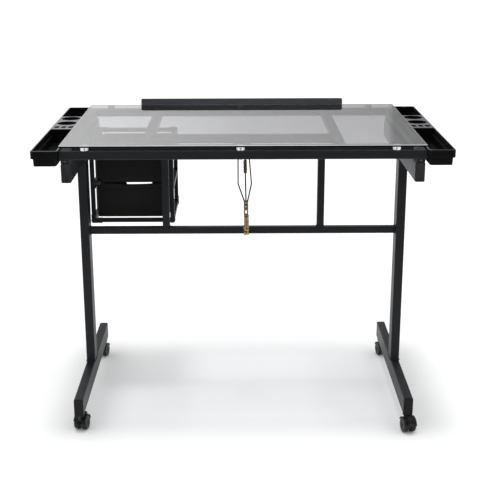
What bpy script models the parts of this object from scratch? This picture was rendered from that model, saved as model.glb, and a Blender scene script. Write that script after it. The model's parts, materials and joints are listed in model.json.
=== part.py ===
"""Drafting table: a tilting glass top on a steel frame with casters, side trays and two fabric drawers.

Metres, +Z up.  The origin is on the floor below the middle of the top.  The user sits on the +Y side,
+X is the right-hand side seen from behind, and the top tilts about a hinge line near the user's edge.
"""

import math

import bmesh
import bpy
from mathutils import Matrix, Vector

# ---------------------------------------------------------------- driving dimensions
GAP = 0.0003                    # clearance left between faces that touch
GLASS_WIDTH, GLASS_DEPTH, GLASS_THICKNESS = 0.915, 0.610, 0.0050
GLASS_CORNER = 0.004
TABLE_HEIGHT = 0.800

FRAME_TUBE = 0.022              # square tube of the tilting frame
STANDOFF_HEIGHT, STANDOFF_RADIUS = 0.0090, 0.0103
STANDOFF_PITCH, STANDOFF_SHIFT, STANDOFF_Y = 0.389, -0.0060, 0.2930
INNER_TUBE_WIDTH, INNER_TUBE_X = 0.025, 0.250
CROSS_TUBE_Y = -0.113

LEG_X = 0.445                   # centre plane of each foot, post and arm
LEG_TUBE = (0.025, 0.050)       # section of foot, post and arm
ARM_TOP, ARM_LENGTH = 0.751, 0.569
FOOT_TOP, FOOT_LENGTH = 0.100, 0.559
CAP_THICKNESS = 0.003
TUBE_WALL = 0.0014

RAIL_TUBE = 0.020               # square tube of the rails and uprights
LOWER_RAIL_Z, UPPER_RAIL_Z = 0.4936, 0.7160
UPRIGHTS = {"left": -0.2160, "right": 0.2200}

HINGE_Y, HINGE_WIDTH = 0.2765, 0.0246
HINGE_BARREL, HINGE_PIN = 0.0042, 0.0018
PAD_SIZE, PAD_Y = 0.022, -0.274

STAY_X = 0.0105
STAY_FOOT = (-0.0210, 0.4975)   # y and z of the pivot on the lower rail
STAY_HEAD = (CROSS_TUBE_Y, 0.7500)
STAY_HALF_WIDTH = 0.0068
WIRE_RADIUS = 0.0020
HEAD_PIN = 0.0025

TRAY_INNER, TRAY_OUTER, TRAY_HALF_LENGTH = 0.4579, 0.5265, 0.3200
TRAY_TOP, TRAY_SKIRT, TRAY_BOTTOM = 0.7900, 0.7700, 0.7505
TRAY_INSET, TRAY_TAPER = 0.0040, 0.0018
CUP_PLACES, CUP_RADIUS = (0.0580, 0.1300), 0.0270

LEDGE_LENGTH, LEDGE_TOP, LEDGE_BOTTOM, LEDGE_THICKNESS = 0.610, 0.8180, 0.7600, 0.0020
LEDGE_SLOT = (0.7655, 0.7855)   # lowest and highest point of each slot
LEDGE_SLOT_X = 0.200

UNIT_LEFT, UNIT_RIGHT = -0.4310, -0.1950
UNIT_REAR, UNIT_FRONT = 0.0300, 0.2500
UNIT_BOTTOM, UNIT_TOP = 0.5075, 0.7365
UNIT_TUBE, RUNNER_REACH = 0.0115, 0.0040
RUNNER_TOPS = {"lower": 0.6150, "upper": 0.7140}
BIN_FLOORS = {"lower": 0.5219, "upper": 0.6215}
BIN_WALL, BIN_RIM = 0.0030, 0.0045

WHEEL_RADIUS, WHEEL_OUTER, WHEEL_INNER = 0.0200, 0.0170, 0.0045
CASTER_Y, CASTER_TRAIL = 0.2635, 0.0120
STEM_RADIUS, STEM_LENGTH = 0.0050, 0.0260
FENDER_INNER, FENDER_OUTER, FENDER_HALF_WIDTH = 0.0212, 0.0230, 0.0174
CASTERS = {                     # side, end and swivel angle in degrees
    "rear_left": (-1, -1, 168),
    "rear_right": (1, -1, 12),
    "front_left": (-1, 1, -12),
    "front_right": (1, 1, 12),
}
BRAKED = ("rear_left", "rear_right")
LEVER_PIVOT = (-0.0190, 0.0462)  # y and z of a brake lever's hinge line, from the swivel axis

FRAME_TOP = TABLE_HEIGHT - GLASS_THICKNESS - STANDOFF_HEIGHT
FRAME_BOTTOM = FRAME_TOP - FRAME_TUBE
FOOT_BOTTOM = FOOT_TOP - LEG_TUBE[1]
ARM_BOTTOM = ARM_TOP - LEG_TUBE[1]
HINGE_Z = (ARM_TOP + FRAME_BOTTOM) / 2


# ---------------------------------------------------------------- materials
def material(name, colour, roughness, metallic=0.0, alpha=1.0):
    made = bpy.data.materials.new(name)
    made.use_nodes = True
    shader = made.node_tree.nodes["Principled BSDF"]
    shader.inputs["Base Color"].default_value = (*colour, 1.0)
    shader.inputs["Roughness"].default_value = roughness
    shader.inputs["Metallic"].default_value = metallic
    shader.inputs["Alpha"].default_value = alpha
    made.diffuse_color = (*colour, alpha)
    return made


# ---------------------------------------------------------------- outlines and meshes
TOWARDS = {                     # turns a shape made along Z to lie along another axis
    "X": Matrix(((0, 0, 1, 0), (1, 0, 0, 0), (0, 1, 0, 0), (0, 0, 0, 1))),
    "Y": Matrix(((0, 1, 0, 0), (0, 0, 1, 0), (1, 0, 0, 0), (0, 0, 0, 1))),
    "Z": Matrix.Identity(4),
}


def arc(centre, radius, start, end, steps):
    """Points on a circle from one angle to another, in degrees, both ends included."""
    angles = [math.radians(start + (end - start) * i / steps) for i in range(steps + 1)]
    return [(centre[0] + radius * math.cos(a), centre[1] + radius * math.sin(a)) for a in angles]


def rounded_rectangle(width, height, radius, steps=2):
    outline = []
    corners = ((1, 1, 0), (-1, 1, 90), (-1, -1, 180), (1, -1, 270))
    for side_x, side_y, start in corners:
        centre = (side_x * (width / 2 - radius), side_y * (height / 2 - radius))
        outline += arc(centre, radius, start, start + 90, steps)
    return outline


def mesh_of(name, work):
    """A mesh from a bmesh, with its doubled points merged and its faces turned outwards."""
    bmesh.ops.remove_doubles(work, verts=work.verts, dist=1e-7)
    bmesh.ops.recalc_face_normals(work, faces=work.faces)
    mesh = bpy.data.meshes.new(name)
    work.to_mesh(mesh)
    work.free()
    return mesh


def raised(work, faces, height):
    """Extrude flat faces upwards into a solid."""
    result = bmesh.ops.extrude_face_region(work, geom=faces)
    lifted = [item for item in result["geom"] if isinstance(item, bmesh.types.BMVert)]
    bmesh.ops.translate(work, verts=lifted, vec=(0, 0, height))


def hollow_tube(name, length, width, height, wall=TUBE_WALL, radius=0.0030, mitre=0.0):
    """A rectangular tube along X, open at its ends; a mitre of 1 shortens its +Y side by 45 degrees."""
    work = bmesh.new()
    edges = []
    for inset in (0, wall):
        outline = rounded_rectangle(width - 2 * inset, height - 2 * inset, radius - inset)
        ring = [work.verts.new((y, z, -length / 2)) for y, z in outline]
        edges += [work.edges.new((before, after)) for before, after in zip(ring, ring[1:] + ring[:1])]
    section = bmesh.ops.bridge_loops(work, edges=edges)["faces"]
    raised(work, section, length)
    for vert in work.verts:
        vert.co.z *= 1 - 2 * mitre * vert.co.x / length
    work.transform(TOWARDS["X"])
    return mesh_of(name, work)


def extruded(name, outline, low, high, axis="Z", edge=0.0):
    """A flat outline raised between two heights along an axis, with an optional chamfered rim."""
    work = bmesh.new()
    face = work.faces.new([work.verts.new((a, b, low)) for a, b in outline])
    raised(work, [face], high - low)
    if edge:
        rims = [e for e in work.edges if abs(e.verts[0].co.z - e.verts[1].co.z) < 1e-6]
        bmesh.ops.bevel(work, geom=rims, offset=edge, segments=1, affect="EDGES")
    work.transform(TOWARDS[axis])
    return mesh_of(name, work)


def block(name, low, high):
    rectangle = [(low[0], low[1]), (high[0], low[1]), (high[0], high[1]), (low[0], high[1])]
    return extruded(name, rectangle, low[2], high[2])


def turned(name, profile, steps, axis="Z"):
    """A solid of revolution; the profile's (radius, height) points start and end at radius 0."""
    work = bmesh.new()
    line = [work.verts.new((radius, 0, height)) for radius, height in profile]
    edges = [work.edges.new(pair) for pair in zip(line, line[1:])]
    bmesh.ops.spin(work, geom=line + edges, cent=(0, 0, 0), axis=(0, 0, 1), angle=2 * math.pi,
                   steps=steps, use_merge=True)
    work.transform(TOWARDS[axis])
    return mesh_of(name, work)


def rod(name, start, end, radius, steps=12):
    """A plain round bar along X."""
    return turned(name, [(0, start), (radius, start), (radius, end), (0, end)], steps, "X")


def evaluated(body):
    """The object's mesh with its modifiers applied; the object itself is removed."""
    seen = body.evaluated_get(bpy.context.evaluated_depsgraph_get())
    work = bmesh.new()
    work.from_mesh(bpy.data.meshes.new_from_object(seen))
    name = body.name
    bpy.data.objects.remove(body)
    return mesh_of(name, work)


def wire(name, route, radius):
    """A round wire along a route of points, with filled ends."""
    curve = bpy.data.curves.new(name, "CURVE")
    curve.dimensions = "3D"
    curve.bevel_depth = radius
    curve.bevel_resolution = 1
    curve.use_fill_caps = True
    line = curve.splines.new("POLY")
    line.points.add(len(route) - 1)
    for point, position in zip(line.points, route):
        point.co = (*position, 1)
    body = bpy.data.objects.new(name, curve)
    bpy.context.collection.objects.link(body)
    return evaluated(body)


def combined(name, base, joined=(), cut=()):
    """The base mesh with others joined to it, and then others cut from it."""
    body = bpy.data.objects.new(name, base)
    bpy.context.collection.objects.link(body)
    tools = []
    for meshes, operation in ((joined, "UNION"), (cut, "DIFFERENCE")):
        for mesh in meshes:
            tool = bpy.data.objects.new("tool", mesh)
            bpy.context.collection.objects.link(tool)
            tools.append(tool)
            step = body.modifiers.new(operation.title(), "BOOLEAN")
            step.operation = operation
            step.object = tool
    mesh = evaluated(body)
    for tool in tools:
        bpy.data.objects.remove(tool)
    return mesh


def moved(mesh, x=0.0, y=0.0, z=0.0):
    mesh.transform(Matrix.Translation((x, y, z)))
    return mesh


def axis_empty(name, location):
    """An empty on the axis of a joint, for the pieces that turn or slide with it."""
    empty = bpy.data.objects.new(name, None)
    empty.empty_display_size = 0.03
    bpy.context.collection.objects.link(empty)
    empty.location = location
    return empty


def add(name, mesh, finish, location=(0, 0, 0), turn=0.0, lean=0.0, parent=None):
    """A named piece of the table, turned about Z and leaned about X by angles in degrees."""
    body = bpy.data.objects.new(name, mesh)
    bpy.context.collection.objects.link(body)
    body.location = location
    body.rotation_euler = (math.radians(lean), 0, math.radians(turn))
    if parent:
        body.parent = parent
        body.location = Vector(location) - parent.location
    mesh.materials.clear()
    mesh.materials.append(finish)
    mesh.shade_smooth()
    mesh.set_sharp_from_angle(angle=math.radians(30))
    return body


# ---------------------------------------------------------------- leg frames
def leg_frames(steel, plastic):
    """A foot, a post and an arm on each side, with plastic caps in the ends of the feet."""
    radius = STEM_RADIUS + GAP
    bores = []
    for end in (-1, 1):
        bore = turned("bore", [(0, -0.01), (radius, -0.01), (radius, 0.01), (0, 0.01)], 16)
        bores.append(moved(bore, x=end * CASTER_Y, z=-LEG_TUBE[1] / 2))
    foot = combined("foot", hollow_tube("foot", FOOT_LENGTH, *LEG_TUBE), cut=bores)
    arm = hollow_tube("arm", ARM_LENGTH, *LEG_TUBE)
    post = hollow_tube("post", ARM_BOTTOM - FOOT_TOP - 2 * GAP, *LEG_TUBE)
    post.transform(TOWARDS["Y"])
    cap = extruded("cap", rounded_rectangle(LEG_TUBE[1], LEG_TUBE[0], 0.0030), 0, CAP_THICKNESS, "Y", 0.0008)
    for side, word in ((-1, "left"), (1, "right")):
        x = side * LEG_X
        foot_z = FOOT_TOP - LEG_TUBE[1] / 2
        add(word + "_foot", foot, steel, (x, 0, foot_z), 90)
        add(word + "_arm", arm, steel, (x, 0, ARM_TOP - LEG_TUBE[1] / 2), 90)
        add(word + "_post", post, steel, (x, 0, (ARM_BOTTOM + FOOT_TOP) / 2))
        reach = FOOT_LENGTH / 2 + GAP
        add(word + "_foot_rear_cap", cap, plastic, (x, -reach, foot_z), 180)
        add(word + "_foot_front_cap", cap, plastic, (x, reach, foot_z))


def cross_frame(steel):
    """The two rails between the legs and the two uprights between the rails."""
    span = 2 * LEG_X - LEG_TUBE[0] - 2 * GAP
    rail = hollow_tube("rail", span, RAIL_TUBE, RAIL_TUBE)
    add("lower_rail", rail, steel, (0, 0, LOWER_RAIL_Z))
    add("upper_rail", rail, steel, (0, 0, UPPER_RAIL_Z))
    bottom = LOWER_RAIL_Z + RAIL_TUBE / 2 + GAP
    top = UPPER_RAIL_Z - RAIL_TUBE / 2 - GAP
    upright = hollow_tube("upright", top - bottom, RAIL_TUBE, RAIL_TUBE, radius=0.0025)
    upright.transform(TOWARDS["Y"])
    for word, x in UPRIGHTS.items():
        add(word + "_upright", upright, steel, (x, 0, (top + bottom) / 2))


# ---------------------------------------------------------------- casters
def caster_hood():
    """Fender, centre web, boss and stem, about the swivel axis on the floor; it trails towards -Y."""
    axle = (-CASTER_TRAIL, WHEEL_RADIUS)
    seat = FOOT_BOTTOM - GAP
    outline = arc(axle, FENDER_OUTER, 25, 172, 14) + arc(axle, FENDER_INNER, 172, 25, 14)
    fender = extruded("fender", outline, -FENDER_HALF_WIDTH, FENDER_HALF_WIDTH, "X")
    outline = [(0.0090, seat - 0.001), (-0.0090, seat - 0.001)]
    outline += arc(axle, 0.0222, 118, 160, 4) + arc(axle, 0.0070, 200, 330, 6) + [(0.0060, 0.0300)]
    web = extruded("web", outline, -0.0032, 0.0032, "X")
    boss = turned("boss", [(0, 0.0412), (0.0090, 0.0412), (0.0115, 0.0450), (0.0115, seat), (0, seat)], 20)
    top = seat + STEM_LENGTH
    profile = [(0, 0.0450), (STEM_RADIUS, 0.0450), (STEM_RADIUS, top - 0.001), (STEM_RADIUS - 0.001, top)]
    stem = turned("stem", profile + [(0, top)], 16)
    ears = []
    for side in (-1, 1):
        start, end = sorted((side * 0.0088, side * 0.0108))
        outline = arc(LEVER_PIVOT, 0.0024, -20, 200, 6) + [(-0.0240, 0.0405), (-0.0130, 0.0420)]
        ears.append(extruded("ear", outline, start, end, "X"))
    pin = rod("pin", -0.0100, 0.0100, 0.0012, 10)
    pin.transform(Matrix.Translation((0, *LEVER_PIVOT)))
    bore = rod("bore", -0.01, 0.01, 0.0029, 14)
    bore.transform(Matrix.Translation((0, *axle)))
    return combined("caster_hood", fender, joined=(web, boss, stem, *ears, pin), cut=(bore,))


def caster_wheels():
    """Two wheels on one axle, about the middle of the axle."""
    shoulder = 0.0030
    rim = arc((WHEEL_RADIUS - shoulder, WHEEL_OUTER - shoulder), shoulder, 90, 0, 3)
    inner = arc((WHEEL_RADIUS - shoulder / 2, WHEEL_INNER + shoulder / 2), shoulder / 2, 0, -90, 2)
    half = [(0, WHEEL_OUTER - 0.001), (0.0070, WHEEL_OUTER - 0.001), (0.0085, WHEEL_OUTER)] + rim + inner
    half += [(0.0026, WHEEL_INNER)]
    profile = half + [(radius, -height) for radius, height in reversed(half)]
    return turned("caster_wheels", profile, 28, "X")


def brake_lever():
    """A pedal that rocks on the hood's pin and presses the treads, about its own hinge line."""
    outline = [(0.0034, -0.0016), (0.0034, 0.0018), (0.0, 0.0030), (-0.0060, 0.0014), (-0.0125, -0.0040),
               (-0.0178, -0.0120), (-0.0196, -0.0190), (-0.0176, -0.0196), (-0.0160, -0.0130),
               (-0.0112, -0.0066), (-0.0040, -0.0022)]
    lever = extruded("brake_lever", outline, -0.0082, 0.0082, "X")
    return combined("brake_lever", lever, cut=(rod("bore", -0.02, 0.02, 0.0015, 10),))


def casters(plastic, tread):
    hood, wheels, lever = caster_hood(), caster_wheels(), brake_lever()
    for name, (side, end, turn) in CASTERS.items():
        swivel = axis_empty(name + "_swivel_axis", (side * LEG_X, end * CASTER_Y, 0))
        swivel.rotation_euler.z = math.radians(turn)
        pieces = [("caster_hood", hood, plastic, (0, 0)),
                  ("caster_wheels", wheels, tread, (-CASTER_TRAIL, WHEEL_RADIUS))]
        if name in BRAKED:
            pieces.append(("brake_lever", lever, plastic, LEVER_PIVOT))
        for word, mesh, finish, (y, z) in pieces:
            body = add(f"{name}_{word}", mesh, finish)
            body.parent = swivel
            body.location = (0, y, z)


# ---------------------------------------------------------------- tilting top
def top_frame(steel, tilt_axis):
    tube = FRAME_TUBE
    z = FRAME_TOP - tube / 2
    half_x, half_y = GLASS_WIDTH / 2 - tube / 2, GLASS_DEPTH / 2 - tube / 2
    long_tube = hollow_tube("frame_long", 2 * (half_x - GAP), tube, tube, mitre=1.0)
    short_tube = hollow_tube("frame_short", 2 * (half_y - GAP), tube, tube, mitre=1.0)
    inner_length = GLASS_DEPTH - 2 * tube - 2 * GAP
    inner = hollow_tube("frame_inner", inner_length, INNER_TUBE_WIDTH, tube, radius=0.0025)
    cross_length = 2 * INNER_TUBE_X - INNER_TUBE_WIDTH - 2 * GAP
    cross = hollow_tube("frame_cross", cross_length, tube, tube, radius=0.0025)
    for name, mesh, x, y, turn in (
        ("rear", long_tube, 0, -half_y, 0),
        ("front", long_tube, 0, half_y, 180),
        ("right", short_tube, half_x, 0, 90),
        ("left", short_tube, -half_x, 0, 270),
        ("left_inner", inner, -INNER_TUBE_X, 0, 90),
        ("right_inner", inner, INNER_TUBE_X, 0, 90),
        ("cross", cross, 0, CROSS_TUBE_Y, 0),
    ):
        add(f"top_{name}_tube", mesh, steel, (x, y, z), turn, parent=tilt_axis)


def glass_top(glass, chrome, tilt_axis):
    outline = rounded_rectangle(GLASS_WIDTH, GLASS_DEPTH, GLASS_CORNER, 3)
    pane = extruded("glass_top", outline, 0, GLASS_THICKNESS, edge=0.0008)
    add("glass_top", pane, glass, (0, 0, TABLE_HEIGHT - GLASS_THICKNESS), parent=tilt_axis)
    height, radius, chamfer = STANDOFF_HEIGHT - 2 * GAP, STANDOFF_RADIUS, 0.0006
    profile = [(0, 0), (radius - chamfer, 0), (radius, chamfer), (radius, height - chamfer),
               (radius - chamfer, height), (0, height)]
    standoff = turned("standoff", profile, 24)
    for end, row in ((-1, "rear"), (1, "front")):
        for step, word in ((-1, "left"), (0, "middle"), (1, "right")):
            place = (step * STANDOFF_PITCH + STANDOFF_SHIFT, end * STANDOFF_Y, FRAME_TOP + GAP)
            add(f"standoff_{row}_{word}", standoff, chrome, place, parent=tilt_axis)


def tilt_hinges(zinc, tilt_axis):
    """One hinge above each arm: a leaf on the arm that carries the pin, and a leaf below the frame."""
    half, plate, web = HINGE_WIDTH / 2, 0.0020, 0.0025
    knuckle = 0.0045
    low, high = ARM_TOP + GAP - HINGE_Z, FRAME_BOTTOM - GAP - HINGE_Z

    lower_plate = block("plate", (-half, -0.040, low), (half, -0.0055, low + plate))
    pieces = [rod("pin", -half, half, HINGE_PIN)]
    for side in (-1, 1):
        start, end = sorted((side * (knuckle + GAP), side * half))
        pieces.append(rod("barrel", start, end, HINGE_BARREL, 16))
        pieces.append(block("web", (start, -0.0070, low), (end, 0.0, low + web)))
    lower = combined("hinge_lower_leaf", lower_plate, joined=pieces)
    upper_plate = block("plate", (-half, -0.040, high - plate), (half, -0.0055, high))
    upper_web = block("web", (-knuckle, -0.0070, high - web), (knuckle, 0.0, high))
    barrel = rod("barrel", -knuckle, knuckle, HINGE_BARREL, 16)
    bore = rod("bore", -half, half, HINGE_PIN + 0.00025)
    upper = combined("hinge_upper_leaf", upper_plate, joined=(barrel, upper_web), cut=(bore,))
    for side, word in ((-1, "left"), (1, "right")):
        place = (side * LEG_X, HINGE_Y, HINGE_Z)
        add(word + "_hinge_lower_leaf", lower, zinc, place)
        add(word + "_hinge_upper_leaf", upper, zinc, place, parent=tilt_axis)


def rest_pads(rubber):
    outline = rounded_rectangle(PAD_SIZE, PAD_SIZE, 0.0020)
    pad = extruded("rest_pad", outline, ARM_TOP + GAP, FRAME_BOTTOM - GAP)
    for side, word in ((-1, "left"), (1, "right")):
        add(word + "_rest_pad", pad, rubber, (side * (GLASS_WIDTH / 2 - FRAME_TUBE / 2), PAD_Y, 0))


def pencil_ledge(steel, tilt_axis):
    """A flat strip with rounded top corners, slotted so that it slides up and down its two screws."""
    half, radius = LEDGE_LENGTH / 2, 0.0050
    outline = [(-half, LEDGE_BOTTOM), (half, LEDGE_BOTTOM)]
    outline += arc((half - radius, LEDGE_TOP - radius), radius, 0, 90, 4)
    outline += arc((radius - half, LEDGE_TOP - radius), radius, 90, 180, 4)
    plate = extruded("plate", [(z, x) for x, z in outline], 0, LEDGE_THICKNESS, "Y")
    slot_low, slot_high = LEDGE_SLOT
    slots = []
    for side in (-1, 1):
        outline = rounded_rectangle(slot_high - slot_low, 0.0064, 0.0031, 3)
        slot = extruded("slot", outline, -0.01, 0.01, "Y")
        slots.append(moved(slot, x=side * LEDGE_SLOT_X, z=(slot_low + slot_high) / 2))
    plate = combined("pencil_ledge", plate, cut=slots)
    add("pencil_ledge", plate, steel, (0, GLASS_DEPTH / 2 + 0.0012, 0), parent=tilt_axis)


# ---------------------------------------------------------------- side trays
def tray_mesh():
    """The right-hand tray: a skirted rim above a tapered body, with stepped pockets and cups sunk into it."""
    length, width = 2 * TRAY_HALF_LENGTH, TRAY_OUTER - TRAY_INNER
    rim = extruded("rim", rounded_rectangle(width, length, 0.0080, 3), TRAY_SKIRT, TRAY_TOP, edge=0.0010)
    outline = rounded_rectangle(width - 2 * TRAY_INSET, length - 2 * TRAY_INSET, 0.0070, 3)
    body = extruded("body", outline, TRAY_BOTTOM, TRAY_TOP - 0.004)
    for vert in body.vertices:
        if vert.co.z < TRAY_SKIRT:
            vert.co.x -= math.copysign(TRAY_TAPER, vert.co.x)
            vert.co.y -= math.copysign(TRAY_TAPER, vert.co.y)

    step, floor = TRAY_SKIRT + 0.0030, TRAY_BOTTOM + 0.0025
    cuts = []

    def sink(x, y, size_x, size_y, radius, bottom, steps=2):
        cut = extruded("pocket", rounded_rectangle(size_x, size_y, radius, steps), bottom, TRAY_TOP + 0.01)
        cuts.append(moved(cut, x=x, y=y))

    for wall, margin, bottom in ((0.0038, 0.0, step), (0.0088, 0.0040, floor)):
        across, reach = width - 2 * wall, TRAY_HALF_LENGTH - wall
        rear_end, front_end = -0.0310 - margin, 0.1620 + margin
        sink(0, (rear_end - reach) / 2, across, reach + rear_end, 0.0050, bottom)
        sink(0, (front_end + reach) / 2, across, reach - front_end, 0.0050, bottom)
    for radius, bottom in ((CUP_RADIUS, step), (CUP_RADIUS - 0.0065, floor)):
        for y in CUP_PLACES:
            sink(0, y, 2 * radius, 2 * radius, radius - 0.0001, bottom, 6)
    for side in (-1, 0, 1):
        sink(side * 0.0190, -0.0010, 0.0140, 0.0240, 0.0069, floor, 4)
    return combined("tray", rim, joined=(body,), cut=cuts)


def side_trays(plastic, tilt_axis):
    tray = tray_mesh()
    mirrored = tray.copy()
    mirrored.transform(Matrix.Scale(-1, 4, (1, 0, 0)))
    mirrored.flip_normals()
    middle = (TRAY_INNER + TRAY_OUTER) / 2
    add("right_tray", tray, plastic, (middle, 0, 0), parent=tilt_axis)
    add("left_tray", mirrored, plastic, (-middle, 0, 0), parent=tilt_axis)


# ---------------------------------------------------------------- tilt stay
def notches(places, width):
    """Cutters across Y for round-ended slots, each given by its x, its middle and its length."""
    cutters = []
    for x, middle, length in places:
        outline = rounded_rectangle(length, width, min(length, width) / 2 - 0.0001, 3)
        cutters.append(moved(extruded("slot", outline, -0.02, 0.02, "Y"), x=x, z=middle))
    return cutters


def tilt_stay(zinc, brass, tilt_axis):
    """A channel hinged on the rail, a slotted plate that slides in it, and a wire yoke behind the plate."""
    foot, head = Vector((STAY_X, *STAY_FOOT)), Vector((STAY_X, *STAY_HEAD))
    length = (head - foot).length
    lean = math.degrees(math.atan2(foot.y - head.y, head.z - foot.z))
    channel_top, plate_top, low = 0.0532, 0.1040, -0.0105
    half, wall, depth = STAY_HALF_WIDTH, 0.0010, 0.0080
    section = [(-half, 0), (-half, -depth), (wall - half, -depth), (wall - half, -wall),
               (half - wall, -wall), (half - wall, -depth), (half, -depth), (half, 0)]
    trunnions = []
    for side in (-1, 1):
        start, end = sorted((side * (half - 0.0004), side * (half + 0.0015)))
        trunnions.append(moved(rod("trunnion", start, end, 0.0024), y=-depth / 2))
    channel = combined("channel", extruded("channel", section, low, channel_top), joined=trunnions)

    outline = [(-0.0050, low + 0.001), (0.0050, low + 0.001), (0.0050, channel_top + 0.001),
               (0.0054, channel_top + 0.001), (0.0050, plate_top), (-0.0076, plate_top),
               (-0.0070, channel_top + 0.001), (-0.0050, channel_top + 0.001)]
    slots = ((-0.0008, 0.0665, 0.0150), (-0.0010, 0.0840, 0.0060), (-0.0012, 0.0950, 0.0050))
    plate = extruded("plate", [(z, x) for x, z in outline], -0.0075, -0.0056, "Y")
    plate = combined("ratchet_plate", plate, cut=notches(slots, 0.0042))

    wire_y, eye = -0.0028, 0.0068
    outline = [(-0.0046, low + 0.001), (0.0046, low + 0.001), (0.0046, plate_top), (-0.0062, plate_top),
               (-0.0046, channel_top + 0.004)]
    tongue = extruded("tongue", [(z, x) for x, z in outline], -0.0040, -0.0018, "Y")
    tongue = combined("tongue", tongue, cut=notches(slots, 0.0042))
    wires = []
    left_bends = [(-0.0044, plate_top - 0.014), (-0.0064, plate_top), (-0.0226, 0.1590), (-0.0228, 0.1640)]
    right_bends = [(0.0024, plate_top - 0.014), (0.0036, plate_top), (0.0135, 0.1590), (0.0133, 0.1640)]
    for bends, eye_x in ((left_bends, -0.0228), (right_bends, 0.0059)):
        points = [(x, wire_y, z) for x, z in bends]
        points += [(eye_x, y, length + rise) for y, rise in arc((0, 0), eye, 245, -50, 12)]
        wires.append(wire("wire", points, WIRE_RADIUS))
    centre_rod = [(-0.0012, wire_y, plate_top - 0.008), (-0.0040, wire_y, length - 0.0290)]
    wires.append(wire("rod", centre_rod, 0.0022))
    yoke = combined("yoke", tongue, joined=wires)

    pivot = axis_empty("stay_axis", foot)
    add("stay_channel", channel, brass, foot, lean=lean, parent=pivot)
    add("stay_ratchet_plate", plate, zinc, foot, lean=lean, parent=pivot)
    add("stay_yoke", yoke, zinc, foot, lean=lean, parent=pivot)
    stay_brackets(zinc, tilt_axis, Matrix.Rotation(math.radians(lean), 3, "X") @ Vector((0, -depth / 2, 0)))


def stay_brackets(zinc, tilt_axis, trunnion):
    """A clevis on the rear face of the lower rail, and a clevis with its pin below the cross tube."""
    foot_y, foot_z = STAY_FOOT
    rail_face = -RAIL_TUBE / 2 - GAP
    half = STAY_HALF_WIDTH
    plate = block("plate", (-half - 0.0015, rail_face - 0.0020, foot_z - 0.0120),
                  (half + 0.0015, rail_face, foot_z + 0.0050))
    ears = []
    for side in (-1, 1):
        low, high = sorted((side * (half + GAP), side * (half + 0.0015)))
        start = (low, foot_y + trunnion.y - 0.0062, foot_z + trunnion.z - 0.0062)
        ears.append(block("ear", start, (high, rail_face - 0.001, foot_z + trunnion.z + 0.0062)))
    bore = rod("bore", -0.02, 0.02, 0.0030)
    bore.transform(Matrix.Translation((0, foot_y + trunnion.y, foot_z + trunnion.z)))
    lower = combined("stay_lower_bracket", plate, joined=ears, cut=(bore,))
    add("stay_lower_bracket", lower, zinc, (STAY_X, 0, 0))

    head_y, head_z = STAY_HEAD
    ceiling = FRAME_BOTTOM - GAP
    top_plate = block("plate", (-0.0215, head_y - 0.0100, ceiling - 0.0018),
                      (0.0215, head_y + 0.0100, ceiling))
    ears = []
    for side in (-1, 1):
        low, high = sorted((side * 0.0195, side * 0.0215))
        ears.append(block("ear", (low, head_y - 0.0045, head_z - 0.0045),
                          (high, head_y + 0.0045, ceiling - 0.001)))
    half = [(0, 0.0230), (0.0042, 0.0230), (0.0042, 0.0215), (HEAD_PIN, 0.0215)]
    pin = turned("pin", half + [(radius, -height) for radius, height in reversed(half)], 12, "X")
    pin.transform(Matrix.Translation((0, head_y, head_z)))
    upper = combined("stay_upper_bracket", top_plate, joined=(*ears, pin))
    add("stay_upper_bracket", upper, zinc, parent=tilt_axis)


# ---------------------------------------------------------------- drawer unit
def lattice(name, columns, rows, holes, thickness):
    """A flat lattice across Y (columns) and Z (rows), open in the named cells, from x = 0."""
    work = bmesh.new()
    points = {}

    def corner(i, j):
        if (i, j) not in points:
            points[i, j] = work.verts.new((columns[i], rows[j], 0))
        return points[i, j]

    faces = []
    for i in range(len(columns) - 1):
        for j in range(len(rows) - 1):
            if (i, j) not in holes:
                ring = ((i, j), (i + 1, j), (i + 1, j + 1), (i, j + 1))
                faces.append(work.faces.new([corner(*place) for place in ring]))
    raised(work, faces, thickness)
    work.transform(TOWARDS["X"])
    return mesh_of(name, work)


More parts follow.
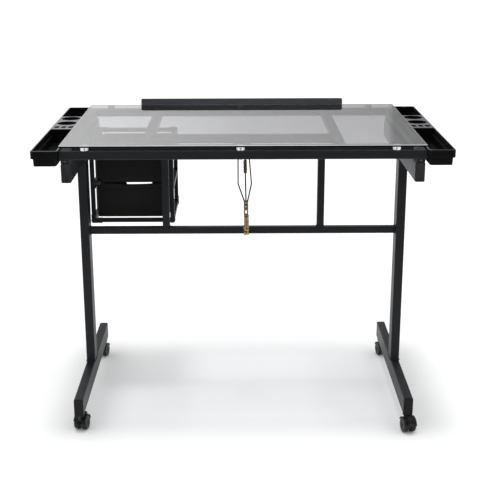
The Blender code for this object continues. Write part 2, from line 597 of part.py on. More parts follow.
def drawer_frame(steel):
    """Two welded side frames with runners, three cross tubes, and an angle that hangs from the upper rail."""
    tube = UNIT_TUBE
    columns = [UNIT_REAR, UNIT_REAR + tube, UNIT_FRONT - tube, UNIT_FRONT]
    rows = [UNIT_BOTTOM, UNIT_BOTTOM + tube]
    for top in RUNNER_TOPS.values():
        rows += [top - tube, top]
    rows += [UNIT_TOP - tube, UNIT_TOP]
    holes = [(1, 1), (1, 3), (1, 5)]
    for word, side, outer in (("left", 1, UNIT_LEFT), ("right", -1, UNIT_RIGHT)):
        frame = moved(lattice("side", columns, rows, holes, tube), x=-tube / 2)
        runners = []
        for top in RUNNER_TOPS.values():
            start, end = sorted((side * (tube / 2 - 0.002), side * (tube / 2 + RUNNER_REACH)))
            runners.append(block("runner", (start, UNIT_REAR + 0.001, top - tube + 0.004),
                                 (end, UNIT_FRONT - 0.001, top)))
        place = (outer + side * tube / 2, 0, 0)
        add(f"drawer_{word}_frame", combined("side", frame, joined=runners), steel, place)
    left, right = UNIT_LEFT + tube + GAP, UNIT_RIGHT - tube - GAP
    bar = hollow_tube("bar", right - left, tube, tube, 0.0012, 0.0020)
    middle = (left + right) / 2
    rear_y, front_y = UNIT_REAR + tube / 2, UNIT_FRONT - tube / 2
    add("drawer_rear_bottom_tube", bar, steel, (middle, rear_y, UNIT_BOTTOM + tube / 2))
    add("drawer_front_bottom_tube", bar, steel, (middle, front_y, UNIT_BOTTOM + tube / 2))
    add("drawer_front_top_tube", bar, steel, (middle, front_y, UNIT_TOP - tube / 2))
    back, flange, lap = RAIL_TUBE / 2 + GAP, 0.0020, UNIT_REAR + tube
    foot = UPPER_RAIL_Z - 0.0100
    section = [(back, foot), (back + flange, foot), (back + flange, UNIT_TOP - flange),
               (lap, UNIT_TOP - flange), (lap, UNIT_TOP), (back, UNIT_TOP)]
    add("drawer_hanger", extruded("drawer_hanger", section, left, right, "X"), steel)


def drawers(fabric):
    """Open bins whose rims ride on the runners."""
    left, right = UNIT_LEFT + UNIT_TUBE, UNIT_RIGHT - UNIT_TUBE
    body_left, body_right = left + RUNNER_REACH + 0.0008, right - RUNNER_REACH - 0.0008
    rear, front = UNIT_REAR + UNIT_TUBE + 0.0025, UNIT_FRONT - 0.0010
    for name, top in RUNNER_TOPS.items():
        low, rim_low, rim_high = BIN_FLOORS[name], top + GAP, top + GAP + BIN_RIM
        body = block("body", (body_left, rear, low), (body_right, front, rim_high))
        rim = block("rim", (left + 0.0005, rear, rim_low), (right - 0.0005, front, rim_high))
        inside = block("inside", (body_left + BIN_WALL, rear + BIN_WALL, low + BIN_WALL),
                       (body_right - BIN_WALL, front - BIN_WALL, rim_high + 0.01))
        add(name + "_drawer_bin", combined("bin", body, joined=(rim,), cut=(inside,)), fabric)


# ---------------------------------------------------------------- assembly
def main():
    for old in list(bpy.data.objects):
        bpy.data.objects.remove(old)
    steel = material("black_powder_coat", (0.018, 0.020, 0.023), 0.38, 0.4)
    plastic = material("black_plastic", (0.010, 0.010, 0.011), 0.30)
    tread = material("caster_tread", (0.012, 0.012, 0.013), 0.55)
    rubber = material("black_rubber", (0.015, 0.015, 0.015), 0.80)
    glass = material("tempered_glass", (0.75, 0.80, 0.82), 0.03, alpha=0.35)
    chrome = material("chrome", (0.85, 0.85, 0.87), 0.08, 1.0)
    zinc = material("yellow_zinc", (0.38, 0.33, 0.17), 0.32, 1.0)
    brass = material("brass_zinc", (0.55, 0.42, 0.25), 0.30, 1.0)
    fabric = material("black_fabric", (0.009, 0.009, 0.010), 0.92)

    tilt_axis = axis_empty("table_tilt_axis", (0, HINGE_Y, HINGE_Z))
    leg_frames(steel, plastic)
    cross_frame(steel)
    casters(plastic, tread)
    top_frame(steel, tilt_axis)
    glass_top(glass, chrome, tilt_axis)
    tilt_hinges(zinc, tilt_axis)
    rest_pads(rubber)
    pencil_ledge(steel, tilt_axis)
    side_trays(plastic, tilt_axis)
    tilt_stay(zinc, brass, tilt_axis)
    drawer_frame(steel)
    drawers(fabric)


main()
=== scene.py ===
"""Drafting table: materials, fine pieces, studio and camera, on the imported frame."""
import json
import math

import bmesh
import bpy
from mathutils import Matrix, Vector
from mathutils.noise import noise as noise_at


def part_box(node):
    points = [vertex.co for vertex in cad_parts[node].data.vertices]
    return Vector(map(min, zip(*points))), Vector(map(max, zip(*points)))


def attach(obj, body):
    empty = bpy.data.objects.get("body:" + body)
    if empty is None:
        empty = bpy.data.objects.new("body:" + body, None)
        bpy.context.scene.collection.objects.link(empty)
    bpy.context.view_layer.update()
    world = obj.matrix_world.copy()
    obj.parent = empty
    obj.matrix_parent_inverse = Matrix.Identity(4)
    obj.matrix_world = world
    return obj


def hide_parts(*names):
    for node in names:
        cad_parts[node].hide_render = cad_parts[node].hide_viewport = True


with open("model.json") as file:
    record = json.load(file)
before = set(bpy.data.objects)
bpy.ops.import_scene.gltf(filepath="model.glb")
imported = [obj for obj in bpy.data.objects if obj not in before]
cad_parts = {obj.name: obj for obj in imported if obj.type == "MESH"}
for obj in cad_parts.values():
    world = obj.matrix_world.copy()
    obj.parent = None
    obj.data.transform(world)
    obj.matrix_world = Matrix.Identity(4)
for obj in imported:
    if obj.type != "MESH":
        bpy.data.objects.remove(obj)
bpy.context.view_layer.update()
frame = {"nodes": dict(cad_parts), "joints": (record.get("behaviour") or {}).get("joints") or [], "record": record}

nodes = frame["nodes"]

TRAY_RIM = 0.7900                # top of the side trays
STAY_X = 0.0105                  # the stay hangs a little right of the middle
TUBE = 0.0115                    # square tube of the drawer unit


# ------------------------------------------------------------------ node helpers
def new_material(name):
    """A material with its node tree and its Principled shader."""
    made = bpy.data.materials.new(name)
    made.use_nodes = True
    tree = made.node_tree
    return made, tree, tree.nodes["Principled BSDF"]


def node(tree, kind, inputs=None, **settings):
    """A node whose inputs are linked to sockets or set to values."""
    made = tree.nodes.new(kind)
    for key, value in settings.items():
        setattr(made, key, value)
    for key, value in (inputs or {}).items():
        if hasattr(value, "is_output"):
            tree.links.new(value, made.inputs[key])
        else:
            made.inputs[key].default_value = value
    return made


def place(tree):
    """The object's own coordinates, in metres."""
    return node(tree, "ShaderNodeTexCoord").outputs["Object"]


def noise(tree, scale, detail=2.0, roughness=0.5, vector=None):
    inputs = {"Vector": vector or place(tree), "Scale": scale, "Detail": detail, "Roughness": roughness}
    return node(tree, "ShaderNodeTexNoise", inputs).outputs["Fac"]


def ramp(tree, value, low, high, start=0.3, end=0.7):
    """Maps start to end of a value onto low to high, held at both ends."""
    inputs = {"Value": value, "From Min": start, "From Max": end, "To Min": low, "To Max": high}
    return node(tree, "ShaderNodeMapRange", inputs).outputs["Result"]


def tint(tree, value, first, second):
    """From one colour to another; either may be a colour or a socket."""
    mixed = node(tree, "ShaderNodeMix", data_type="RGBA")
    tree.links.new(value, mixed.inputs["Factor"])
    for socket, colour in (("A", first), ("B", second)):
        if hasattr(colour, "is_output"):
            tree.links.new(colour, mixed.inputs[socket])
        else:
            mixed.inputs[socket].default_value = (*colour, 1)
    return mixed.outputs["Result"]


def math_node(tree, operation, *values):
    made = node(tree, "ShaderNodeMath", operation=operation)
    for socket, value in zip(made.inputs, values):
        if hasattr(value, "is_output"):
            tree.links.new(value, socket)
        else:
            socket.default_value = value
    return made.outputs[0]


def bump(tree, shader, height, strength, distance):
    made = node(tree, "ShaderNodeBump", {"Height": height, "Strength": strength, "Distance": distance})
    tree.links.new(made.outputs["Normal"], shader.inputs["Normal"])


def shaded(tree, factor, first, second):
    """One shader laid over another by a factor."""
    mixed = node(tree, "ShaderNodeMixShader", {"Fac": factor})
    tree.links.new(first.outputs[0], mixed.inputs[1])
    tree.links.new(second.outputs[0], mixed.inputs[2])
    return mixed


def surface(tree, shader):
    tree.links.new(shader.outputs[0], tree.nodes["Material Output"].inputs["Surface"])


def connect(tree, shader, **inputs):
    for key, value in inputs.items():
        socket = shader.inputs[key.replace("_", " ")]
        if hasattr(value, "is_output"):
            tree.links.new(value, socket)
        else:
            socket.default_value = value


# ------------------------------------------------------------------ materials
def powder_coat(name, low, high):
    """Satin powder coat: orange-peel bump, fine speckle and rubbed patches."""
    made, tree, shader = new_material(name)
    at = place(tree)
    speckle = noise(tree, 1400.0, 2.0, 0.6, at)
    cloud = noise(tree, 7.0, 3.0, 0.6, at)
    blend = math_node(tree, "ADD", math_node(tree, "MULTIPLY", speckle, 0.5),
                      math_node(tree, "MULTIPLY", cloud, 0.5))
    connect(tree, shader, Base_Color=tint(tree, ramp(tree, blend, 0, 1, 0.35, 0.65), low, high),
            Roughness=ramp(tree, cloud, 0.40, 0.50), Metallic=0.0)
    shader.inputs["Specular IOR Level"].default_value = 0.24
    peel = math_node(tree, "ADD", noise(tree, 520.0, 1.0, 0.4, at),
                     math_node(tree, "MULTIPLY", speckle, 0.35))
    bump(tree, shader, peel, 0.35, 0.00012)
    return made


def moulded(name, colour, rough=(0.30, 0.42), gloss=0.5):
    """Moulded plastic with a fine spark-eroded grain."""
    made, tree, shader = new_material(name)
    at = place(tree)
    fine = noise(tree, 2600.0, 2.0, 0.6, at)
    patch = noise(tree, 24.0, 2.0, 0.5, at)
    lighter = tuple(c * 1.5 + 0.002 for c in colour)
    connect(tree, shader, Base_Color=tint(tree, ramp(tree, patch, 0, 1), colour, lighter),
            Roughness=ramp(tree, patch, *rough))
    shader.inputs["Specular IOR Level"].default_value = gloss
    bump(tree, shader, fine, 0.4, 0.00004)
    return made


def moulded_tray(name, rim):
    """Moulded plastic: polished on the lands and rims, matt and darker below the given height."""
    made, tree, shader = new_material(name)
    at = place(tree)
    height = node(tree, "ShaderNodeSeparateXYZ", {"Vector": at}).outputs["Z"]
    polish = ramp(tree, height, 0.0, 1.0, rim - 0.0025, rim - 0.0008)
    patch = noise(tree, 24.0, 2.0, 0.5, at)
    matt = tint(tree, ramp(tree, patch, 0, 1), (0.0026, 0.0026, 0.0028), (0.0045, 0.0045, 0.0048))
    shader.inputs["Specular IOR Level"].default_value = 0.5
    connect(tree, shader, Base_Color=matt, Roughness=ramp(tree, patch, 0.15, 0.23))
    bump(tree, shader, noise(tree, 1900.0, 2.0, 0.6, at), 0.4, 0.00004)
    dull = node(tree, "ShaderNodeBsdfPrincipled",
                {"Base Color": matt, "Roughness": 0.55, "Specular IOR Level": 0.12})
    tree.links.new(shader.inputs["Normal"].links[0].from_socket, dull.inputs["Normal"])
    surface(tree, shaded(tree, polish, dull, shader))
    return made


def spacer(name):
    """Nickel-plated spacer, painted: the bright flanks and the dark core are painted reflection, the core where it
    faces the viewer square on.
    """
    made, tree, shader = new_material(name)
    at = place(tree)
    haze = noise(tree, 60.0, 3.0, 0.6, at)
    # painted reflection: a dark band where the spacer faces the viewer, on a white base that stands in for bright
    # reflections
    facing = node(tree, "ShaderNodeLayerWeight", {"Blend": 0.5}).outputs["Facing"]
    painted_dark_reflection = ramp(tree, facing, 1.0, 0.0, 0.02, 0.06)
    pale = tint(tree, ramp(tree, haze, 0, 1), (0.93, 0.93, 0.94), (0.98, 0.98, 0.98))
    connect(tree, shader, Base_Color=tint(tree, painted_dark_reflection, pale, (0.05, 0.05, 0.06)),
            Roughness=ramp(tree, haze, 0.08, 0.16))
    bump(tree, shader, noise(tree, 900.0, 1.0, 0.5, at), 0.06, 0.00002)
    return made


def rubber(name):
    """Matt black rubber with a bloom in patches."""
    made, tree, shader = new_material(name)
    at = place(tree)
    patch = noise(tree, 90.0, 3.0, 0.6, at)
    black = tint(tree, ramp(tree, patch, 0, 1), (0.012, 0.012, 0.012), (0.022, 0.022, 0.021))
    connect(tree, shader, Base_Color=black, Roughness=ramp(tree, patch, 0.72, 0.88))
    bump(tree, shader, noise(tree, 1800.0, 2.0, 0.6, at), 0.5, 0.00006)
    return made


def plated(name, low, high, rough=(0.22, 0.38)):
    """Zinc-plated pressed steel: drawn streaks and a mottled passivate."""
    made, tree, shader = new_material(name)
    at = place(tree)
    mottle = noise(tree, 160.0, 4.0, 0.65, at)
    stretched = node(tree, "ShaderNodeMapping", {"Vector": at, "Scale": (40.0, 40.0, 700.0)})
    lines = noise(tree, 4.0, 2.0, 0.5, stretched.outputs["Vector"])
    connect(tree, shader, Base_Color=tint(tree, ramp(tree, mottle, 0, 1), low, high),
            Metallic=1.0, Roughness=ramp(tree, mottle, *rough))
    bump(tree, shader, lines, 0.25, 0.00004)
    return made


def chromate_with_painted_sides(name, middle):
    """Chromate over zinc, brown where it is thin; rose left of the middle and olive gold right of it are a painted
    reflection of the two folded wings.
    """
    made, tree, shader = new_material(name)
    at = place(tree)
    across = node(tree, "ShaderNodeSeparateXYZ", {"Vector": at}).outputs["X"]
    drift = ramp(tree, noise(tree, 130.0, 3.0, 0.6, at), -0.0035, 0.0035)
    mottle = ramp(tree, noise(tree, 170.0, 3.0, 0.65, at), 0, 1, 0.40, 0.60)
    rose = tint(tree, mottle, (0.110, 0.050, 0.030), (0.560, 0.340, 0.250))
    olive = tint(tree, mottle, (0.060, 0.045, 0.012), (0.480, 0.420, 0.160))
    # painted reflection: the left half rose and the right half olive gold, split at the middle, as the folded
    # wings would reflect
    side = ramp(tree, math_node(tree, "ADD", across, drift), 0, 1, middle - 0.0015, middle + 0.0015)
    connect(tree, shader, Base_Color=tint(tree, side, rose, olive), Metallic=1.0,
            Roughness=ramp(tree, mottle, 0.20, 0.34))
    bump(tree, shader, mottle, 0.25, 0.00004)
    return made


def glass():
    """Smoked tempered glass: polished faces, a ground upper arris painted pale as a highlight, edge faces painted
    near black as shade, a soft shadow.
    """
    made, tree, shader = new_material("tempered_glass")
    at = place(tree)
    smear = noise(tree, 9.0, 4.0, 0.6, at)
    normal = node(tree, "ShaderNodeTexCoord").outputs["Normal"]
    facing_up = node(tree, "ShaderNodeSeparateXYZ", {"Vector": normal}).outputs["Z"]
    upright = math_node(tree, "ABSOLUTE", facing_up)
    smoke = tint(tree, ramp(tree, smear, 0, 1), (0.45, 0.455, 0.465), (0.48, 0.485, 0.495))
    connect(tree, shader, Base_Color=smoke)
    shader.inputs["Roughness"].default_value = 0.0
    shader.inputs["IOR"].default_value = 1.5
    shader.inputs["Transmission Weight"].default_value = 1.0

    arris_highlight_edge_shade = node(tree, "ShaderNodeBsdfPrincipled", {"Roughness": 0.45, "Specular IOR Level": 0.12})
    # painted highlight and painted shade: the upper arris pale, the edge faces and lower arris near black
    edge = math_node(tree, "LESS_THAN", facing_up, 0.3)
    tree.links.new(tint(tree, edge, (0.80, 0.83, 0.83), (0.004, 0.005, 0.005)), arris_highlight_edge_shade.inputs["Base Color"])
    rim = shaded(tree, math_node(tree, "LESS_THAN", upright, 0.9), shader, arris_highlight_edge_shade)

    rays = node(tree, "ShaderNodeLightPath")
    lit = math_node(tree, "MAXIMUM", rays.outputs["Is Shadow Ray"], rays.outputs["Is Diffuse Ray"])
    clear = node(tree, "ShaderNodeBsdfTransparent", {"Color": (0.76, 0.775, 0.78, 1)})
    surface(tree, shaded(tree, lit, rim, clear))
    return made


def cloth(name, low, high, pitch=0.0011, depth=0.00018):
    """Plain-woven polyester: threads run along the faces in both directions."""
    made, tree, shader = new_material(name)
    at = place(tree)
    parts = node(tree, "ShaderNodeSeparateXYZ", {"Vector": at})
    turn = 2 * math.pi / pitch

    def strand(socket):
        wave = math_node(tree, "SINE", math_node(tree, "MULTIPLY", socket, turn))
        return math_node(tree, "MULTIPLY", wave, 0.5)

    along = math_node(tree, "ADD", parts.outputs["X"], parts.outputs["Y"])
    weave = math_node(tree, "MULTIPLY", strand(along), strand(parts.outputs["Z"]))
    weave = math_node(tree, "ADD", math_node(tree, "MULTIPLY", weave, 2.0), 0.5)
    fuzz = noise(tree, 2400.0, 3.0, 0.7, at)
    fade = noise(tree, 14.0, 3.0, 0.6, at)
    shade = math_node(tree, "ADD", math_node(tree, "MULTIPLY", weave, 0.5),
                      math_node(tree, "ADD", math_node(tree, "MULTIPLY", fuzz, 0.3),
                                math_node(tree, "MULTIPLY", fade, 0.35)))
    connect(tree, shader, Base_Color=tint(tree, ramp(tree, shade, 0, 1, 0.25, 0.85), low, high),
            Roughness=ramp(tree, fuzz, 0.80, 0.95), Sheen_Weight=0.12, Sheen_Roughness=0.5)
    shader.inputs["Specular IOR Level"].default_value = 0.25
    height = math_node(tree, "ADD", weave, math_node(tree, "MULTIPLY", fuzz, 0.4))
    bump(tree, shader, height, 0.6, depth)
    return made


coat = powder_coat("powder_coat_black", (0.0080, 0.0088, 0.0112), (0.0132, 0.0145, 0.0178))
coat_ledge = powder_coat("powder_coat_charcoal", (0.060, 0.061, 0.070), (0.078, 0.079, 0.090))
black_plastic = moulded("moulded_black", (0.0062, 0.0062, 0.0066))
cap_plastic = moulded("moulded_cap", (0.0095, 0.0100, 0.0102), (0.42, 0.55))
foot_plastic = moulded("moulded_foot_cap", (0.0050, 0.0050, 0.0053), (0.50, 0.62), 0.2)
tray_plastic = moulded_tray("moulded_tray", TRAY_RIM)
wheel_plastic = moulded("moulded_wheel", (0.0040, 0.0042, 0.0046), (0.38, 0.50), 0.3)
pad_rubber = rubber("rubber_pad")
zinc_dull = plated("zinc_olive", (0.050, 0.044, 0.031), (0.100, 0.090, 0.066))
zinc_wire = plated("zinc_umber", (0.022, 0.018, 0.012), (0.050, 0.044, 0.033), (0.38, 0.52))
zinc_plate = plated("zinc_gold", (0.060, 0.048, 0.026), (0.270, 0.220, 0.120), (0.26, 0.42))
zinc_spring = plated("zinc_bronze", (0.120, 0.088, 0.046), (0.240, 0.190, 0.110))
chromate_painted_reflection = chromate_with_painted_sides("zinc_chromate_painted_sides", STAY_X)
screw_black = plated("black_oxide", (0.020, 0.020, 0.022), (0.040, 0.040, 0.042), (0.25, 0.40))
screw_grey = plated("grey_zinc", (0.22, 0.22, 0.22), (0.34, 0.34, 0.33), (0.25, 0.40))
spacer_painted_reflection = spacer("spacer_painted_stripes")
pane = glass()
fabric = cloth("woven_black", (0.0022, 0.0022, 0.0024), (0.0085, 0.0085, 0.0088))
binding = cloth("binding_tape", (0.0026, 0.0026, 0.0028), (0.0095, 0.0095, 0.0100), 0.0008, 0.00014)
thread = cloth("bonded_thread", (0.0100, 0.0100, 0.0105), (0.0220, 0.0220, 0.0230), 0.0004, 0.00006)

FINISHES = {
    "frame": coat, "plastic": black_plastic, "wheel": wheel_plastic, "pad": pad_rubber, "glass": pane,
    "standoff": spacer_painted_reflection, "hardware": zinc_dull, "channel": chromate_painted_reflection, "cloth": fabric,
}
SPECIAL = {"pencil_ledge": coat_ledge, "left_tray": tray_plastic, "right_tray": tray_plastic,
           "stay_yoke": zinc_wire, "stay_ratchet_plate": zinc_plate}
SPECIAL.update({f"{side}_foot_{end}_cap": foot_plastic
                for side in ("left", "right") for end in ("rear", "front")})
SPECIAL.update({f"standoff_front_{word}": screw_grey for word in ("left", "middle", "right")})
EDGES = {"left_tray": 0.0007, "right_tray": 0.0007, "pencil_ledge": 0.0004}
BEVELS = {"frame": 0.0, "plastic": 0.0005, "wheel": 0.0, "pad": 0.0010, "glass": 0.0008, "standoff": 0.0,
          "hardware": 0.0003, "channel": 0.0003, "cloth": 0.0}
for part in frame["record"]["subparts"]:
    body = nodes[part["node"]]
    finish = SPECIAL.get(part["node"], FINISHES[part["material_slot"]])
    body.data.materials.clear()
    body.data.materials.append(finish)
    width = EDGES.get(part["node"], BEVELS[part["material_slot"]])
    if width:
        step = body.modifiers.new("edge", "BEVEL")
        step.width = width
        step.segments = 2
        step.limit_method = "ANGLE"
        step.angle_limit = math.radians(40)
        step.harden_normals = False


# ------------------------------------------------------------------ mesh helpers
def arc(centre, radius, start, end, steps):
    """Points on a circle from one angle to another, in degrees, both ends included."""
    angles = [math.radians(start + (end - start) * i / steps) for i in range(steps + 1)]
    return [(centre[0] + radius * math.cos(a), centre[1] + radius * math.sin(a)) for a in angles]


def rounded_rectangle(width, height, radius, steps=4):
    outline = []
    for side_x, side_y, start in ((1, 1, 0), (-1, 1, 90), (-1, -1, 180), (1, -1, 270)):
        centre = (side_x * (width / 2 - radius), side_y * (height / 2 - radius))
        outline += arc(centre, radius, start, start + 90, steps)
    return outline


def skin(work, rings, looped=False):
    """Quads between rings of equal length; flat ends, unless the rings loop back."""
    rows = [[work.verts.new(point) for point in ring] for ring in rings]
    pairs = list(zip(rows, rows[1:]))
    if looped:
        pairs.append((rows[-1], rows[0]))
    else:
        work.faces.new(rows[0])
        work.faces.new(rows[-1])
    for lower, upper in pairs:
        for i in range(len(lower)):
            j = (i + 1) % len(lower)
            work.faces.new((lower[i], lower[j], upper[j], upper[i]))


def stacked(outline, levels):
    """Rings of one outline at several heights; each level is (height, inset as a share of the outline)."""
    return [[(x * scale, y * scale, height) for x, y in outline] for height, scale in levels]


def swept(work, route, section, looped=False, lift=(0, 0, 1)):
    """Carry a section, given across and up, along a route; `lift` picks which way is up."""
    rings = []
    count = len(route)
    for i, at in enumerate(route):
        before = route[(i - 1) % count] if looped else route[max(i - 1, 0)]
        after = route[(i + 1) % count] if looped else route[min(i + 1, count - 1)]
        along = (after - before).normalized()
        across = along.cross(Vector(lift)).normalized()
        up = across.cross(along)
        shape = section(i) if callable(section) else section
        rings.append([at + across * a + up * b for a, b in shape])
    skin(work, rings, looped)


def aimed(at, towards):
    """A matrix that puts a shape made along +Z at a point, facing a direction."""
    return Matrix.Translation(at) @ Vector(towards).to_track_quat("Z", "Y").to_matrix().to_4x4()


def piece(name, work, finish, body, matrix=None, crease=35):
    """A finished object that rides on a body, smooth up to the crease angle in degrees."""
    bmesh.ops.recalc_face_normals(work, faces=work.faces)
    if matrix:
        work.transform(matrix)
    mesh = bpy.data.meshes.new(name)
    work.to_mesh(mesh)
    work.free()
    mesh.materials.append(finish)
    mesh.shade_smooth()
    mesh.set_sharp_from_angle(angle=math.radians(crease))
    made = bpy.data.objects.new(name, mesh)
    bpy.context.collection.objects.link(made)
    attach(made, body)
    return made


def corners(name):
    """The low and high corner of a node's box."""
    low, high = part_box(name)
    return Vector(low), Vector(high)


# ------------------------------------------------------------------ screws, rivets and plugs
def screw_head(radius, height, steps=32):
    """A pan head with a cross recess, standing on z = 0."""
    def reach(angle):
        turn = abs((angle + math.pi / 4) % (math.pi / 2) - math.pi / 4)
        return min(0.55 * radius, 0.15 * radius / max(math.sin(turn), 0.01))

    angles = [2 * math.pi * i / steps for i in range(steps)]
    profile = [(0.90 * radius, 0.0), (radius, 0.10 * height), (radius, 0.40 * height)]
    profile += [(radius * (0.62 + 0.38 * math.cos(a)), height * (0.4 + 0.6 * math.sin(a)))
                for a in (0.35, 0.75, 1.15, 1.57)]
    rings = [[(r * math.cos(a), r * math.sin(a), z) for a in angles] for r, z in profile]
    for scale, z in ((1.12, 1.0), (1.0, 0.92), (0.80, 0.35)):
        rings.append([(scale * reach(a) * math.cos(a), scale * reach(a) * math.sin(a), z * height)
                      for a in angles])
    work = bmesh.new()
    skin(work, rings)
    return work


def rivet_head(radius, height, steps=24):
    """A domed head standing on z = 0."""
    work = bmesh.new()
    outline = arc((0, 0), 1.0, 0, 360 * (steps - 1) / steps, steps - 1)
    levels = [(0, radius), (height * 0.25, radius)]
    levels += [(height * (0.25 + 0.75 * math.sin(a)), radius * math.cos(a))
               for a in (0.3, 0.6, 0.9, 1.2, 1.45)]
    skin(work, stacked(outline, levels))
    return work


def washer(outer, inner, height, steps=32):
    work = bmesh.new()
    edge = 0.2 * height
    section = [(inner, 0), (outer - edge, 0), (outer, edge), (outer, height - edge), (outer - edge, height),
               (inner + edge, height)]
    circle = [(math.cos(2 * math.pi * i / steps), math.sin(2 * math.pi * i / steps)) for i in range(steps)]
    skin(work, [[(r * x, r * y, z) for r, z in section] for x, y in circle], looped=True)
    return work


def ledge_screws():
    """The two screws that the ledge's slots slide on, with their washers and shanks."""
    low, high = corners("pencil_ledge")
    frame_face = corners("top_front_tube")[1].y
    slot_x, shank = 0.200, 0.0026
    z = low.z + 0.0087
    for side, word in ((-1, "left"), (1, "right")):
        at = Vector((side * slot_x, high.y + 0.0001, z))
        piece(f"ledge_washer_{word}", washer(0.0046, shank, 0.0008), screw_black, "table_top",
              aimed(at, (0, 1, 0)))
        piece(f"ledge_screw_{word}", screw_head(0.0040, 0.0024), screw_black, "table_top",
              aimed(at + Vector((0, 0.0009, 0)), (0, 1, 0)))
        work = bmesh.new()
        outline = arc((0, 0), shank, 0, 345, 23)
        skin(work, stacked(outline, [(0, 1.0), (high.y - frame_face + 0.001, 1.0)]))
        piece(f"ledge_shank_{word}", work, screw_black, "table_top",
              aimed((side * slot_x, frame_face, z), (0, 1, 0)))


def frame_screws():
    """Standoff screws below the frame, hinge screws, and a screw in the near face of each rest pad."""
    under = corners("top_rear_tube")[0].z
    for end in ("rear", "front"):
        for word in ("left", "middle", "right"):
            low, high = corners(f"standoff_{end}_{word}")
            middle = (low + high) / 2
            piece(f"standoff_screw_{end}_{word}", screw_head(0.0040, 0.0020), screw_black, "table_top",
                  aimed((middle.x, middle.y, under - 0.0001), (0, 0, -1)))
    for word in ("left", "right"):
        low, high = corners(f"{word}_rest_pad")
        at = ((low.x + high.x) / 2, low.y - 0.0001, (low.z + high.z) / 2)
        piece(f"{word}_pad_screw", screw_head(0.0030, 0.0016), screw_grey, "stand",
              aimed(at, (0, -1, 0)))
        for leaf, body, facing in (("lower", "stand", 1), ("upper", "table_top", -1)):
            low, high = corners(f"{word}_hinge_{leaf}_leaf")
            x = (low.x + high.x) / 2
            z = low.z + 0.0021 if facing > 0 else high.z - 0.0021
            for index in (1, 2):
                y = low.y + 0.0095 * index
                piece(f"{word}_hinge_{leaf}_screw_{index}", screw_head(0.0034, 0.0012), screw_grey, body,
                      aimed((x, y, z), (0, 0, facing)))


def arm_caps():
    """Moulded plugs in the ends of the two arms, with a rounded edge and a shallow panel."""
    profile = ((0.0001, 0.0), (0.0014, 0.0), (0.0020, 0.0004), (0.0022, 0.0012), (0.0022, 0.0030),
               (0.0018, 0.0036))
    for word in ("left", "right"):
        low, high = corners(f"{word}_arm")
        width, height = high.x - low.x, high.z - low.z
        middle = (low + high) / 2
        for end, y, facing in (("rear", low.y, -1), ("front", high.y, 1)):
            rings = []
            for depth, inset in profile:
                outline = rounded_rectangle(width - 2 * inset, height - 2 * inset, 0.0034 - 0.5 * inset)
                rings.append([(middle.x + a, y + facing * depth, middle.z + b) for a, b in outline])
            work = bmesh.new()
            skin(work, rings)
            piece(f"{word}_arm_{end}_cap", work, cap_plastic, "stand")


# ------------------------------------------------------------------ weld beads and painted shade strip
def weld(name, centre, axis, width, height, body, finish, radius=0.0014):
    """A rippled bead round a rectangular tube where it meets another; the axis points out of the joint."""
    pitch = 0.0024
    turn = aimed(centre, axis)
    outline = rounded_rectangle(width + 0.4 * radius, height + 0.4 * radius, 0.0025, 3)
    route = []
    for (x0, y0), (x1, y1) in zip(outline, outline[1:] + outline[:1]):
        length = math.hypot(x1 - x0, y1 - y0)
        count = max(1, round(length / (pitch / 3)))
        route += [Vector((x0 + (x1 - x0) * k / count, y0 + (y1 - y0) * k / count, 0.3 * radius))
                  for k in range(count)]

    def section(i):
        size = radius * (1.0 + 0.16 * math.cos(2 * math.pi * i / 3))
        return [(size * math.cos(a), size * math.sin(a)) for a in (math.pi * k / 4 for k in range(8))]

    work = bmesh.new()
    swept(work, route, section, looped=True)
    piece(name, work, finish, body, turn, 80)


def welds():
    """A bead at both ends of each post, upright, rail and cross tube."""
    for word in ("left", "right"):
        post_low, post_high = corners(f"{word}_post")
        middle = (post_low + post_high) / 2
        across, along = post_high.x - post_low.x, post_high.y - post_low.y
        for end, z, up in (("foot", post_low.z, 1), ("arm", post_high.z, -1)):
            weld(f"{word}_{end}_weld", (middle.x, middle.y, z), (0, 0, up), across, along, "stand", coat)
        low, high = corners(f"{word}_upright")
        middle = (low + high) / 2
        size = high.x - low.x
        for end, z, up in (("lower", low.z, 1), ("upper", high.z, -1)):
            weld(f"{word}_upright_{end}_weld", (middle.x, middle.y, z), (0, 0, up), size, size, "stand", coat,
                 0.0011)
    for rail in ("lower", "upper"):
        low, high = corners(f"{rail}_rail")
        middle = (low + high) / 2
        size = high.z - low.z
        for word, x, out in (("left", low.x, 1), ("right", high.x, -1)):
            weld(f"{rail}_rail_{word}_weld", (x, middle.y, middle.z), (out, 0, 0), size, size, "stand", coat)
    low, high = corners("top_cross_tube")
    middle = (low + high) / 2
    size = high.z - low.z
    for word, x, out in (("left", low.x, 1), ("right", high.x, -1)):
        weld(f"cross_{word}_weld", (x, middle.y, middle.z), (out, 0, 0), size, size, "table_top", coat,
             0.0011)


